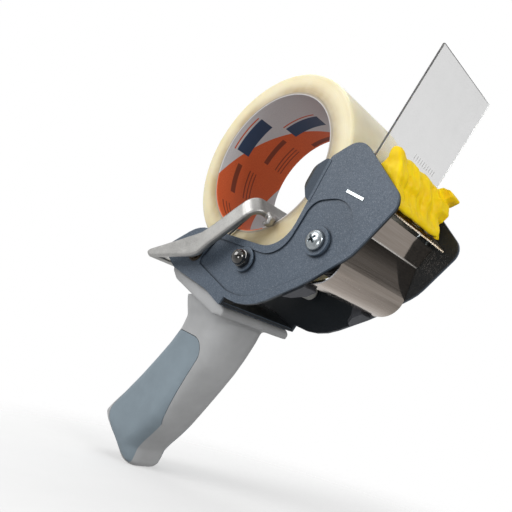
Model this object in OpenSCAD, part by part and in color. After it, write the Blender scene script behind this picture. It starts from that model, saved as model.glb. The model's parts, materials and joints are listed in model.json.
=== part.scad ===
// Hand-held tape dispenser for 48 mm packing tape on a 76 mm core.
// The origin is the centre of the tape roll. +X points to the cutting end, +Z up, and
// +Y runs along the roll's axis from the near side plate to the far one.

/* [Tape roll] */
// Width of the tape
tape_w = 48; // [47:0.5:48.5]
// Inner diameter of the card core
core_d = 76.2; // [75.5:0.1:76.8]
// Wall of the card core
core_wall = 1.5; // [1:0.5:5]
// Outside diameter of a full roll
roll_d = 101.4; // [98:0.2:101.6]

/* [Frame] */
// Width over the two side plates
frame_w = 57; // [56.5:0.5:59]
// Thickness of the sheet steel
plate_t = 2; // [1.5:0.1:2]
// Depth of the pressed panel in each side plate
panel_depth = 0.8; // [0.3:0.1:1]
// Inward lean of the roll guide wings, degrees
wing_lean = 9; // [4:1:11]

/* [Rollers] */
// Outside diameter of the rubber tape roller
roller_d = 22; // [18:1:24]
// Diameter of the tape roller's axle
axle_d = 8; // [6:1:8]
// Diameter of the support roller under the roll
support_d = 9.6; // [8:0.2:9.6]
// Diameter of the support roller's axle
support_axle_d = 6; // [5:1:6]

/* [Lever] */
// Thickness of the lever's strap
strap_t = 3.5; // [3:0.1:3.6]
// Diameter of the lever's shaft
shaft_d = 6; // [5:0.5:6]
// Length of the bar that reaches into the core
core_bar_len = 56; // [45:1:58]

/* [Cutting end] */
// Number of teeth on the blade
blade_teeth = 30; // [20:1:40]
// Thickness of the blade
blade_t = 0.6; // [0.4:0.1:0.8]
// Height of the clear flap above its clamp
flap_len = 62; // [40:1:64]
// Thickness of the clear flap
flap_t = 1.2; // [0.8:0.1:1.2]

/* [Grip] */
// Thickness of the grip across the hand
grip_t = 29; // [26:1:32]

/* [Hidden] */
$fn = 64;

run_gap = 0.05;                    // radial clearance of a turning fit
half_w = frame_w / 2;              // outer face of a side plate
inner = half_w - plate_t;          // inner face of a side plate
roll_r = roll_d / 2;
core_r = core_d / 2;
axle_r = axle_d / 2;
axle_pos = [47.8, -47.2];          // tape roller
support_pos = [6.0, -55.5];        // support roller under the roll
pivot_pos = [-33, -50.5];          // lever
guard_pos = [67.5, -13.5];         // blade guard hinge
flap_pos = [60.2, -17.5];          // flap hinge
slot_pos = [62.4, -27.0];          // carrier tab through each side plate
slot_lean = 27.5;                  // slope of the carrier, degrees below level
slot_size = [11, 1.7];
panel_face = half_w - panel_depth; // floor of the pressed panel
bush_r = 4.5;
washer_t = 1.0;                    // under each domed nut
nut_r = 4.7;
nut_skirt = 2.4;                   // straight part of a domed nut

navy = [0.21, 0.26, 0.33];
steel = [0.72, 0.73, 0.74];
zinc = [0.82, 0.83, 0.84];
black = [0.06, 0.06, 0.07];

// Side outlines are lists of corners [x, z, rounding radius].
plate_outline = [
  [-64.5, -48.0, 5], [-49.0, -60.0, 8], [-17.4, -71.1, 12], [-4.4, -78.3, 0.8],
  [-2.2, -74.2, 0.8], [13.5, -79.7, 36], [45.3, -66.0, 50], [66.5, -53.4, 22],
  [85.2, -31.2, 7.5], [60.2, 0.3, 9], [45.2, -6.6, 3], [28.0, -51.3, 16.5],
  [-36.0, -36.0, 26]
];
panel_outline = [
  [-30.0, -56.4, 3], [-1.5, -71.4, 18], [13.0, -74.6, 30], [45.0, -62.5, 40],
  [66.0, -50.0, 9], [62.0, -27.6, 13], [40.4, -27.6, 9], [27.5, -54.8, 15],
  [-18.0, -43.4, 4]
];
web_path = [[-46.5, -60.9], [-17.4, -71.1], [-4.6, -78.2]];
// The buffer plate: a flat start, a round nose, then straight facets up to the tape exit.
nose_c = [49.5, -53.4];
nose_r = 12;
buffer_path = concat(
  [[45.2, nose_c.y - nose_r]],
  [for (a = [-90:8.75:-11.25]) nose_c + nose_r * [cos(a), sin(a)]],
  [[64.5, -40.3], [69.2, -33.3], [71.9, -29.9]]
);
// The blade lies along a line that drops 50.6 degrees, from its back edge to its teeth.
blade_back = [70.0, -23.8];
blade_slope = 50.6;
blade_len = 11.5;
along_blade = [cos(blade_slope), -sin(blade_slope)];
off_blade = [sin(blade_slope), cos(blade_slope)];
seat_top = blade_back - (blade_t + 0.8) * off_blade;
carrier_path = [
  [56.6, -24.0], [67.0, -29.4], seat_top, seat_top + 3.6 * along_blade
];
ear_outline = [
  [55.6, -24.6, 1], [68.2, -30.6, 1], [69.6, -24.0, 2], [70.4, -12.6, 2.5],
  [66.0, -10.4, 2.5], [57.0, -14.0, 3]
];
guard_outline = [
  [66.9, -15.9, 0.6], [70.8, -17.0, 1], [72.2, -22.8, 1.5], [78.2, -30.2, 0.5],
  [79.7, -31.6, 0.5], [80.9, -29.8, 0.8], [78.6, -8.0, 3], [75.6, -2.8, 2],
  [71.4, -4.2, 1.5], [70.6, -10.6, 1], [66.9, -11.1, 0.6]
];
// Lever strap, from the thumb end up to the bend at the core.
strap_outline = [
  [-65.0, -53.4, 2], [-61.5, -57.2, 1.8], [-23.0, -56.4, 4], [-17.6, -52.9, 6],
  [17.4, -31.2, 1], [12.5, -23.5, 3.2], [-19.0, -43.6, 12], [-47.6, -49.4, 20]
];
thumb_outline = [
  [-65.3, -53.6, 1.8], [-61.7, -57.2, 1.6], [-57.8, -56.2, 1.4], [-60.6, -52.4, 1.6]
];
bar_top = [10.9, -24.9];            // upper corner of the core bar
bar_lean = 28;                     // lean of the core bar's face from upright, degrees
bar_size = [3.2, 8.4];
bead_r = 1.9;

// Handle sections from the neck down: [z, rear x, front x, half thickness, corner radius].
grip_sections = [
  [-84, -47, -10, 0.56, 10], [-99, -59, -14, 0.5, 10], [-114, -73, -23, 0.49, 10],
  [-130, -88, -35, 0.5, 10], [-145, -102.5, -46.5, 0.5, 10], [-156, -88.5, -54, 0.49, 10],
  [-163, -78, -57.5, 0.42, 8], [-168.5, -71, -62, 0.22, 4]
];
grip_panel_outline = [
  [-47, -91, 7], [-95, -145.5, 6], [-71, -160, 8], [-56, -150, 6], [-22, -96, 8]
];
saddle_outline = [
  [-55.0, -58.0, 2], [-17.4, -71.2, 0.1], [-4.4, -78.4, 1.0], [-2.6, -83.8, 1.5],
  [-12.0, -82.6, 6], [-50.0, -65.6, 4]
];
panel_recess = 0.6;                // step from the handle's side down to a grip panel
web_fall = (web_path[1].y - web_path[0].y) / (web_path[1].x - web_path[0].x);
web_lean = -atan(web_fall);        // slope of the web where the grip screws pass

function unit(v) = v / norm(v);
function flat(p) = [p[0], p[1]];

// Points of one rounded corner of an outline
function corner_arc(before, here, after) =
  let (
    p = flat(here),
    a = unit(flat(before) - p),
    b = unit(flat(after) - p),
    half = acos(a * b) / 2,
    r = here[2],
    centre = p + unit(a + b) * r / sin(half),
    first = p + a * r / tan(half) - centre,
    last = p + b * r / tan(half) - centre,
    from = atan2(first.y, first.x),
    turn = atan2(first.x * last.y - first.y * last.x, first * last),
    steps = max(1, ceil(abs(turn) / 11))
  )
  [for (i = [0:steps]) centre + r * [cos(from + turn * i / steps), sin(from + turn * i / steps)]];

function rounded(corners) =
  let (n = len(corners))
  [for (i = [0:n - 1]) each corner_arc(corners[(i + n - 1) % n], corners[i], corners[(i + 1) % n])];

// Points of a bent strip: the path moved left by `left` and right by `right`
function path_normal(path, i) =
  let (
    n = len(path),
    d0 = unit(path[max(i, 1)] - path[max(i, 1) - 1]),
    d1 = unit(path[min(i, n - 2) + 1] - path[min(i, n - 2)]),
    m = unit(d0 + d1)
  )
  [-m.y, m.x] / (m * d0);

function strip(path, left, right) = concat(
  [for (i = [0:len(path) - 1]) path[i] - right * path_normal(path, i)],
  [for (i = [len(path) - 1:-1:0]) path[i] + left * path_normal(path, i)]
);

// A side outline given thickness from y_low to y_high
module slab(y_low, y_high) {
  translate([0, y_high, 0]) rotate([90, 0, 0]) linear_extrude(y_high - y_low) children();
}

// A round bar along Y at side position p
module bar(p, r, y_low, y_high) {
  translate([p.x, y_high, p.y]) rotate([90, 0, 0]) cylinder(r = r, h = y_high - y_low);
}

module tube(p, r_out, r_in, y_low, y_high) {
  difference() {
    bar(p, r_out, y_low, y_high);
    bar(p, r_in, y_low - 1, y_high + 1);
  }
}

// A helical spring along Y around p, made of one swept wire that starts with a straight leg
module coil(p, mean_r, wire_r, y_low, turns, pitch, from, leg = 0) {
  per_turn = 16;
  sides = 8;
  rings = turns * per_turn + 1;
  points = [
    for (i = [0:rings]) for (k = [0:sides - 1])
      let (
        turned = max(i - 1, 0) * 360 / per_turn,
        a = from - turned,
        r = mean_r + wire_r * cos(k * 360 / sides),
        along = i == 0 ? leg : 0,
        y = y_low + pitch * turned / 360 - wire_r * sin(k * 360 / sides)
      )
      [p.x + r * cos(a) - along * sin(a), y, p.y + r * sin(a) + along * cos(a)]
  ];
  first = leg > 0 ? 0 : 1;
  faces = concat(
    [[for (k = [0:sides - 1]) first * sides + k]],
    [
      for (i = [first:rings - 1]) for (k = [0:sides - 1]) let (j = (k + 1) % sides)
        [i * sides + k, (i + 1) * sides + k, (i + 1) * sides + j, i * sides + j]
    ],
    [[for (k = [sides - 1:-1:0]) rings * sides + k]]
  );
  polyhedron(points, faces);
}

// The inward guide wing beside the roll
module wing() {
  tilt = 21.1;
  translate([37.2, -half_w, -27.3]) rotate([0, tilt, 0]) rotate([0, 0, -wing_lean])
    slab(0, plate_t) polygon(rounded([
      [1.5, -0.5, 0.2], [-3.2, 1.0, 3], [-8.6, 6.5, 5], [-8.2, 16.0, 5], [-2.0, 21.2, 3], [1.5, 20.5, 0.2]
    ]));
}

// The bent lip under the buffer plate's lower edge
module lip() {
  edge_slope = 23.8;
  translate([33.7, -inner - 0.2, -71.7]) rotate([0, -edge_slope, 0])
    linear_extrude(plate_t) polygon([[0, 0], [12.2, 0], [12.2, 8.6], [7.0, 8.6], [1.6, 4.0]]);
}

// One side plate, drawn at the near side
module side_plate() {
  difference() {
    union() {
      slab(-half_w, -inner) polygon(rounded(plate_outline));
      wing();
      lip();
    }
    slab(-half_w - 1, -panel_face) polygon(rounded(panel_outline));
    bar(axle_pos, 2.6, -half_w - 1, -inner + 1);
    bar(support_pos, support_axle_d / 2 + 0.1, -half_w - 1, -inner + 1);
    bar(pivot_pos, bush_r, -half_w - 1, -inner + 1);
    translate([slot_pos.x, -half_w + 1, slot_pos.y]) rotate([0, slot_lean, 0])
      cube([slot_size.x, 6, slot_size.y], center = true);
  }
}

module side_plate_near() { color(navy) side_plate(); }
module side_plate_far() { color(navy) mirror([0, 1, 0]) side_plate(); }

// Places a grip screw: z along the web's normal, origin on the web's upper face
module at_grip_screws() {
  for (x = [-38, -25]) for (y = [-14, 14]) {
    web_top = web_path[0].y + (x - web_path[0].x) * web_fall + plate_t / cos(web_lean);
    translate([x, y, web_top]) rotate([0, web_lean, 0]) children();
  }
}

module base_web() {
  color(navy) difference() {
    slab(-inner, inner) polygon(strip(web_path, plate_t, 0));
    at_grip_screws() translate([0, 0, -6]) cylinder(r = 2.1, h = 12);
  }
}

module buffer_plate() {
  color(steel) slab(-inner + 0.2, inner - 0.2) polygon(strip(buffer_path, 1, 0));
}

module blade_carrier() {
  color(zinc) difference() {
    union() {
      slab(-inner + 0.3, inner - 0.3) polygon(strip(carrier_path, 0.8, 0.8));
      for (side = [-1, 1]) {
        translate([0, side * (inner - 1.05), 0]) slab(-0.75, 0.75) polygon(rounded(ear_outline));
        translate([slot_pos.x, side * (half_w - 1.9), slot_pos.y]) rotate([0, slot_lean, 0])
          cube([slot_size.x - 0.5, 4.2, slot_size.y - 0.4], center = true);
      }
    }
    bar(guard_pos, 1.2, -half_w, half_w);
    bar(flap_pos, 1.2, -half_w, half_w);
    at_blade_screws() translate([0, 0, -6]) cylinder(r = 1.2, h = 12);
  }
}

// Turns a drawing of [y, distance from the back edge] into the blade's plane
module in_blade_plane() {
  translate([blade_back.x, 0, blade_back.y]) rotate([0, blade_slope - 180, 0]) rotate([0, 0, 90])
    children();
}

// Places a blade screw: z out of the blade's outer face
module at_blade_screws() {
  p = blade_back + 2.2 * along_blade;
  for (y = [-16, 16]) translate([p.x, y, p.y]) rotate([0, blade_slope, 0]) children();
}

module blade() {
  half = inner - 0.5;
  tooth = 2 * half / blade_teeth;
  depth = 1.4;
  color(steel) difference() {
    in_blade_plane() linear_extrude(blade_t) polygon(concat(
      [[-half, 0], [half, 0]],
      [
        for (i = [0:blade_teeth - 1]) each
          [[half - i * tooth, blade_len - depth], [half - (i + 0.5) * tooth, blade_len]]
      ],
      [[-half, blade_len - depth]]
    ));
    at_blade_screws() translate([0, 0, -3]) cylinder(r = 1.3, h = 6);
  }
}

module blade_screws() {
  color(zinc) at_blade_screws() difference() {
    union() {
      translate([0, 0, -2.6]) cylinder(r = 1.2, h = 3);
      cylinder(r1 = 2.4, r2 = 1.9, h = 1.2);
    }
    translate([0, 0, 1]) cube([3, 0.6, 0.8], center = true);
    translate([0, 0, 1]) cube([0.6, 3, 0.8], center = true);
  }
}

module blade_guard() {
  color([0.95, 0.80, 0.05]) difference() {
    union() {
      slab(-23.8, 20.4) polygon(rounded(guard_outline));
      bar(guard_pos, 2.5, -23.8, 20.4);
      // finger tab at the far end
      slab(16.6, 23.6) polygon(rounded([[71.6, -12.0, 1], [82.4, -9.0, 1.2], [77.0, -4.0, 1.2], [71.6, -4.6, 1]]));
    }
    bar(guard_pos, 1.2 + run_gap, -30, 30);
    // space for the spring and for the shorter far end
    translate([guard_pos.x - 5, -5.5, guard_pos.y - 3.4]) cube([7.8, 11, 7]);
    translate([74.4, 15, -32]) cube([8, 8, 11.6]);
  }
}

module guard_pin() { color(zinc) bar(guard_pos, 1.2, -inner + 0.2, inner - 0.2); }
module flap_pin() { color(zinc) bar(flap_pos, 1.2, -inner + 0.2, inner - 0.2); }
module guard_spring() { color(steel) coil(guard_pos, 1.5, 0.25, -3.4, 9, 0.76, 0); }
module flap_spring() { color(steel) coil(flap_pos, 1.5, 0.25, -3.4, 9, 0.76, 0); }

// Side drawings along the flap: x across it, y up along it, from the hinge
flap_lean = 25.3;
flap_foot = 3.2;                   // lower edge of the flap, above its hinge
module along_flap() {
  translate([flap_pos.x, 0, flap_pos.y]) rotate([0, flap_lean, 0]) children();
}

module flap_holder() {
  color(black) difference() {
    union() {
      bar(flap_pos, 2.4, -23.6, -5.5);
      bar(flap_pos, 2.4, 5.5, 23.6);
      along_flap() slab(-23.6, 23.6)
        polygon(rounded([[-1.3, 1.9, 0.1], [1.3, 1.9, 0.1], [1.3, 8, 0.5], [-1.3, 8, 0.5]]));
    }
    bar(flap_pos, 1.2 + run_gap, -30, 30);
    along_flap() translate([-flap_t / 2, -30, flap_foot]) cube([flap_t, 60, 10]);
  }
}

module clear_flap() {
  color([0.85, 0.87, 0.9, 0.4]) along_flap() translate([-flap_t / 2, -24.5, flap_foot])
    cube([flap_t, 49, flap_len]);
}

module tape_core() {
  color([0.85, 0.84, 0.82]) tube([0, 0], core_r + core_wall, core_r, -tape_w / 2, tape_w / 2);
}

module tape_winding() {
  soft = 0.7;
  r0 = core_r + core_wall;
  h = tape_w / 2;
  color([0.90, 0.82, 0.60]) rotate([90, 0, 0]) rotate_extrude($fn = 96) polygon([
    [r0, -h], [roll_r - soft, -h], [roll_r, -h + soft], [roll_r, h - soft], [roll_r - soft, h], [r0, h]
  ]);
}

module roller_axle() {
  color(steel) difference() {
    bar(axle_pos, axle_r, -inner, inner);
    for (side = [-1, 1]) translate([0, side * (inner - 6), 0]) bar(axle_pos, 2.5, -7, 7);
  }
}

// Phillips pan-head screw at the near side
module axle_screw() {
  head = -half_w - 1;
  difference() {
    union() {
      bar(axle_pos, 2.5, head, -inner + 11);
      translate([axle_pos.x, head, axle_pos.y]) rotate([90, 0, 0]) rotate_extrude() polygon([
        [0, 0], [4.6, 0], [4.6, 1.5], [4.1, 2.4], [3.0, 3.0], [0, 3.3]
      ]);
    }
    translate([axle_pos.x, head - 3, axle_pos.y]) rotate([0, 35, 0]) {
      cube([4.2, 3.2, 0.9], center = true);
      cube([0.9, 3.2, 4.2], center = true);
    }
  }
}

module axle_screws() {
  color(zinc) {
    axle_screw();
    mirror([0, 1, 0]) axle_screw();
  }
}

module axle_washers() {
  color(navy) for (side = [-1, 1]) translate([0, side * (half_w + 0.1), 0])
    tube(axle_pos, 6.6, 2.6, -0.9, 0.9);
}

module roller_bushes() {
  color([0.9, 0.9, 0.88]) for (side = [0, 1]) mirror([0, side, 0]) difference() {
    union() {
      bar(axle_pos, 5.6, -23.4, -15);
      bar(axle_pos, 7.4, -24.8, -23.4);
    }
    bar(axle_pos, axle_r + run_gap, -30, 0);
  }
}

module roller_hub() {
  color([0.16, 0.16, 0.17]) difference() {
    bar(axle_pos, roller_d / 2 - 2.2, -23.4, 23.4);
    bar(axle_pos, 4.6, -30, 30);
    for (side = [-1, 1]) translate([0, side * 19.5, 0]) bar(axle_pos, 5.6, -4.5, 4.5);
  }
}

module roller_sleeve() {
  color([0.10, 0.10, 0.11]) tube(axle_pos, roller_d / 2, roller_d / 2 - 2.2, -23.4, 23.4);
}

module support_axle() {
  reach = half_w + washer_t + nut_skirt + 1;
  color(steel) bar(support_pos, support_axle_d / 2, -reach, reach);
}

module support_roller() {
  color([0.88, 0.88, 0.86]) tube(support_pos, support_d / 2, support_axle_d / 2 + run_gap, -24, 24);
}

module support_washers() {
  color(navy) for (side = [-1, 1]) translate([0, side * (half_w + washer_t / 2), 0])
    tube(support_pos, 6.2, support_axle_d / 2, -washer_t / 2, washer_t / 2);
}

module dome_nut() {
  foot = -half_w - washer_t;
  difference() {
    union() {
      bar(support_pos, nut_r, foot - nut_skirt, foot);
      translate([support_pos.x, foot - nut_skirt, support_pos.y]) rotate([90, 0, 0])
        rotate_extrude() polygon(concat(
          [[0, -1], [nut_r, -1]],
          [for (a = [0:11.25:90]) [nut_r * cos(a), 4.0 * sin(a)]]
        ));
    }
    bar(support_pos, support_axle_d / 2, foot - nut_skirt - 1, 0);
  }
}

module dome_nuts() {
  color(black) {
    dome_nut();
    mirror([0, 1, 0]) dome_nut();
  }
}

strap_y = -half_w - 9.5;           // outer face of the lever's strap

module lever_arm() {
  color([0.70, 0.71, 0.72]) difference() {
    union() {
      slab(strap_y, strap_y + strap_t) polygon(rounded(strap_outline));
      slab(strap_y, strap_y + 40) polygon(rounded(thumb_outline));
      // bar across the inside of the core, with a rounded lower edge
      translate([bar_top.x, 0, bar_top.y]) rotate([0, -bar_lean, 0]) {
        translate([-bar_size.x + 1.6, strap_y + 0.4, -bar_size.y])
          cube([bar_size.x, core_bar_len, bar_size.y]);
        slab(strap_y + 0.4, strap_y + 0.4 + core_bar_len) translate([-0.3, -bar_size.y]) circle(r = bead_r);
      }
      bar(pivot_pos, 4, strap_y + strap_t, -half_w - 0.9);
    }
    bar(pivot_pos, shaft_d / 2, strap_y + 1.4, 0);
  }
}

module lever_shaft() {
  color(zinc) difference() {
    bar(pivot_pos, shaft_d / 2, strap_y + 1.4, half_w + 4);
    tube(pivot_pos, 6, 2.3, half_w + 1.5, half_w + 2.5);
  }
}

module lever_bushes() {
  color([0.72, 0.60, 0.32]) for (side = [0, 1]) mirror([0, side, 0]) difference() {
    union() {
      bar(pivot_pos, bush_r, -half_w, -inner + 0.4);
      bar(pivot_pos, 5.8, -half_w - 0.6, -half_w);
    }
    bar(pivot_pos, shaft_d / 2 + run_gap, -half_w - 2, -inner + 2);
  }
}

module lever_clip() {
  color(steel) difference() {
    bar(pivot_pos, 5.6, half_w + 1.6, half_w + 2.4);
    bar(pivot_pos, 2.3, half_w, half_w + 4);
    slab(half_w, half_w + 4) polygon([
      pivot_pos, pivot_pos + [8, -4.2], pivot_pos + [8, -9], pivot_pos + [-8, -9], pivot_pos + [-8, -4.2]
    ]);
  }
}

module lever_spring() {
  color(steel) coil(pivot_pos, 4.3, 0.6, -inner + 1.25, 5, 1.35, -51.3, 41);
}

// Four corners of one handle section, as thin upright cylinders
module section_posts(s) {
  half = s[3] * grip_t;
  r = s[4];
  for (x = [s[1] + r, s[2] - r]) for (y = [-half + r, half - r])
    translate([x, y, s[0]]) cylinder(r = r, h = 0.1, $fn = 32);
}

module grip_panel(y_low, y_high) {
  slab(y_low, y_high) polygon(rounded(grip_panel_outline));
}

panel_floor = grip_t / 2 - 2.6;
panel_out = grip_t / 2 - panel_recess;

module grip_body() {
  color([0.72, 0.72, 0.71]) difference() {
    union() {
      slab(-25.5, 25.5) polygon(rounded(saddle_outline));
      hull() {
        slab(-20, 20) polygon(rounded([[-46, -63.5, 1], [-8, -80.5, 1], [-9, -82.5, 1], [-46, -66.5, 1]]));
        section_posts(grip_sections[0]);
      }
      for (i = [0:len(grip_sections) - 2]) hull() {
        section_posts(grip_sections[i]);
        section_posts(grip_sections[i + 1]);
      }
    }
    grip_panel(panel_floor, 30);
    grip_panel(-30, -panel_floor);
    at_grip_screws() translate([0, 0, -16]) cylinder(r = 2, h = 17);
  }
}

module grip_panel_near() { color([0.55, 0.60, 0.64]) grip_panel(-panel_out, -panel_floor); }
module grip_panel_far() { color([0.55, 0.60, 0.64]) grip_panel(panel_floor, panel_out); }

module grip_screws() {
  color(zinc) at_grip_screws() difference() {
    union() {
      translate([0, 0, -14]) cylinder(r = 2, h = 14.1);
      cylinder(r1 = 3.8, r2 = 3.0, h = 2.4);
    }
    translate([0, 0, 2.1]) cube([4, 0.9, 1.6], center = true);
    translate([0, 0, 2.1]) cube([0.9, 4, 1.6], center = true);
  }
}

side_plate_near();
side_plate_far();
base_web();
buffer_plate();
blade_carrier();
blade();
blade_screws();
blade_guard();
guard_pin();
guard_spring();
flap_holder();
clear_flap();
flap_pin();
flap_spring();
tape_core();
tape_winding();
roller_axle();
axle_screws();
axle_washers();
roller_bushes();
roller_hub();
roller_sleeve();
support_axle();
support_roller();
support_washers();
dome_nuts();
lever_arm();
lever_shaft();
lever_bushes();
lever_clip();
lever_spring();
grip_body();
grip_panel_near();
grip_panel_far();
grip_screws();
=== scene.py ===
"""Looks of the hand-held tape dispenser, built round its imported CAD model."""
import json
import math

import bmesh
import bpy
from mathutils import Matrix, Vector, noise


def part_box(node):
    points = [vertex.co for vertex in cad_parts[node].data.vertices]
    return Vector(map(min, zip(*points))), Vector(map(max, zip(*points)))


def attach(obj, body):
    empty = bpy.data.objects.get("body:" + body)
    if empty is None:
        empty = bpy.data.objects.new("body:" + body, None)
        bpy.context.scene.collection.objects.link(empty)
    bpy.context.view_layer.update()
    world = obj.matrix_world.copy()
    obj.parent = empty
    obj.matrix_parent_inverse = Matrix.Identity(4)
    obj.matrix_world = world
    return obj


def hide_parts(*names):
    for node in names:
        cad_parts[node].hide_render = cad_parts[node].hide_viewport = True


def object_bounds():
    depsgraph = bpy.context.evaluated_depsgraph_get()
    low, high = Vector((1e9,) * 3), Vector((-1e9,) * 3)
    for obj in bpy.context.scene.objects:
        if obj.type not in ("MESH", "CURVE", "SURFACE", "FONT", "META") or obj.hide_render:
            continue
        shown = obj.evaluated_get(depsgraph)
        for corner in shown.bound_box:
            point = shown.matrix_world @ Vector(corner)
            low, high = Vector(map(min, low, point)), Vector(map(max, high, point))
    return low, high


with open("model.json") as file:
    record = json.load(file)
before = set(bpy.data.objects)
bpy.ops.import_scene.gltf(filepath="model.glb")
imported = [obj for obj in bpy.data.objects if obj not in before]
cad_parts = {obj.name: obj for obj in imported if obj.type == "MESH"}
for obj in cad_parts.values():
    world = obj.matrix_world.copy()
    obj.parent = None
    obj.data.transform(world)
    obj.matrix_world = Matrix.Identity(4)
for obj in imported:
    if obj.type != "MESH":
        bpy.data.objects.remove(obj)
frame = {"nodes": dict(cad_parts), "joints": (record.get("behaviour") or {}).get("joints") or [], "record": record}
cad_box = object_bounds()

MM = 0.001
NODES = frame["nodes"]
JOINTS = {j["name"]: j for j in frame["joints"]}

SHARP_ANGLE = 35            # degrees between two faces from which their edge counts as sharp
CREASE = (64.6, -40.3)      # x, z of the line where the buffer sheet is creased


# ---------------------------------------------------------------- materials

class Look:
    """A material whose nodes are made by short calls. Lengths inside it are in millimetres."""

    def __init__(self, name, **sockets):
        self.material = bpy.data.materials.new(name)
        self.material.use_nodes = True
        self.tree = self.material.node_tree
        self.shader = self.tree.nodes["Principled BSDF"]
        for socket, value in sockets.items():
            self.set(socket.replace("_", " "), value)
        place = self.node("ShaderNodeTexCoord").outputs["Object"]
        self.place = self.scaled(place, (1 / MM, 1 / MM, 1 / MM))

    def node(self, kind, **settings):
        made = self.tree.nodes.new(kind)
        for key, value in settings.items():
            setattr(made, key, value)
        return made

    def feed(self, value, socket):
        """Puts a link or a plain value into a node's socket."""
        if isinstance(value, bpy.types.NodeSocket):
            self.tree.links.new(value, socket)
        elif value is not None:
            if socket.type == "RGBA" and len(value) == 3:
                value = (*value, 1)
            socket.default_value = value

    def set(self, socket, value):
        self.feed(value, self.shader.inputs[socket])

    def scaled(self, vector, factors):
        made = self.node("ShaderNodeVectorMath", operation="MULTIPLY")
        self.feed(vector, made.inputs[0])
        made.inputs[1].default_value = factors
        return made.outputs[0]

    def axes(self):
        made = self.node("ShaderNodeSeparateXYZ")
        self.feed(self.place, made.inputs[0])
        return made.outputs

    def math(self, operation, a, b=0.0):
        made = self.node("ShaderNodeMath", operation=operation)
        self.feed(a, made.inputs[0])
        self.feed(b, made.inputs[1])
        return made.outputs[0]

    def add(self, a, b):
        return self.math("ADD", a, b)

    def times(self, first, *others):
        made = first
        for value in others:
            made = self.math("MULTIPLY", made, value)
        return made

    def size(self, value):
        """The value without its sign."""
        return self.math("ABSOLUTE", value)

    def length(self, a, b):
        """How long a step of a one way and b square to it is."""
        return self.math("SQRT", self.add(self.times(a, a), self.times(b, b)))

    def noise(self, per_mm, detail=2.0, roughness=0.5, stretch=(1, 1, 1)):
        made = self.node("ShaderNodeTexNoise")
        self.feed(self.scaled(self.place, stretch), made.inputs["Vector"])
        made.inputs["Scale"].default_value = per_mm
        made.inputs["Detail"].default_value = detail
        made.inputs["Roughness"].default_value = roughness
        return made.outputs[0]

    def rings(self, radius, per_mm, detail=2.0):
        """Bands that depend on the radius alone."""
        made = self.node("ShaderNodeTexNoise", noise_dimensions="1D")
        self.feed(radius, made.inputs["W"])
        made.inputs["Scale"].default_value = per_mm
        made.inputs["Detail"].default_value = detail
        return made.outputs[0]

    def range(self, value, low, high, to_low=0.0, to_high=1.0, smooth=False):
        """The value's place between low and high, kept within to_low and to_high."""
        made = self.node("ShaderNodeMapRange", clamp=True)
        made.interpolation_type = "SMOOTHSTEP" if smooth else "LINEAR"
        for socket, v in zip(made.inputs, (value, low, high, to_low, to_high)):
            self.feed(v, socket)
        return made.outputs[0]

    def between(self, value, low, high, soft=0.15):
        """1 where low < value < high, with edges `soft` wide."""
        rise = self.range(value, low - soft, low + soft)
        fall = self.range(value, high - soft, high + soft, 1.0, 0.0)
        return self.times(rise, fall)

    def mix(self, factor, a, b):
        made = self.node("ShaderNodeMix", data_type="RGBA")
        self.feed(factor, made.inputs["Factor"])
        self.feed(a, made.inputs[6])
        self.feed(b, made.inputs[7])
        return made.outputs[2]

    def bump(self, height, distance_mm, strength):
        made = self.node("ShaderNodeBump")
        made.inputs["Strength"].default_value = strength
        made.inputs["Distance"].default_value = distance_mm * MM
        self.feed(height, made.inputs["Height"])
        self.set("Normal", made.outputs[0])


def powder_coat():
    """Blue-grey powder coat with an orange-peel grain. Its press lines, its corners and its faces inside the frame
    carry painted shade.
    """
    look = Look("powder_coat", Metallic=0.0, Specular_IOR_Level=0.38)
    peel = look.noise(0.8, 3, 0.55)
    specks = look.noise(2.4, 2, 0.6)
    patches = look.noise(0.035, 2)
    tone = look.mix(look.range(patches, 0.35, 0.65), (0.068, 0.092, 0.125), (0.080, 0.107, 0.145))
    tone = look.mix(look.range(specks, 0.55, 0.70, 0.0, 0.9), tone, (0.165, 0.195, 0.235))
    tone = look.mix(look.range(specks, 0.30, 0.45, 0.8, 0.0), tone, (0.034, 0.049, 0.070))
    # painted shade: an ambient-occlusion test darkens the press lines, the corners and the plate close beside
    # other parts
    corner = look.node("ShaderNodeAmbientOcclusion", samples=8)
    corner.inputs["Distance"].default_value = 1.3 * MM
    tone = look.mix(look.range(corner.outputs["AO"], 0.45, 0.93, 0.9, 0.0), tone, (0.006, 0.010, 0.016))
    # painted shade: the faces between the plates are darkened, darkest towards the bottom, and the bent lips under
    # the mouth get a lighter painted shade
    x, y, z = look.axes()
    aside = look.size(y)
    inside = look.range(aside, 27.35, 27.6, 1.0, 0.0)
    painted_inner_shade = look.mix(look.range(z, -60.0, -20.0), (0.009, 0.012, 0.015), (0.018, 0.017, 0.012))
    lip = look.times(look.range(x, 33.0, 33.2), look.range(z, -59.8, -60.0),
                     look.range(aside, 26.6, 26.8, 1.0, 0.0))
    painted_inner_shade = look.mix(lip, painted_inner_shade, (0.085, 0.088, 0.100))
    # the wing beside the roll is in shade; it lies beyond the plate's slanting front edge
    edge_x, edge_z, slant_x, slant_z = 45.2, -6.6, 0.933, 0.359
    beyond = look.math("SUBTRACT", look.times(look.math("SUBTRACT", z, edge_z), slant_z),
                       look.times(look.math("SUBTRACT", x, edge_x), slant_x))
    wing = look.times(look.range(beyond, 0.2, 0.6), look.range(z, -30.0, -28.0), look.range(z, -4.0, -6.0),
                      look.range(x, 26.0, 27.0), 0.75)
    tone = look.mix(wing, tone, (0.014, 0.028, 0.048))
    look.set("Base Color", look.mix(look.times(inside, 0.93), tone, painted_inner_shade))
    look.set("Roughness", look.range(peel, 0.3, 0.7, 0.44, 0.58))
    look.bump(look.add(peel, look.times(specks, 0.8)), 0.07, 0.8)
    return look.material


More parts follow.
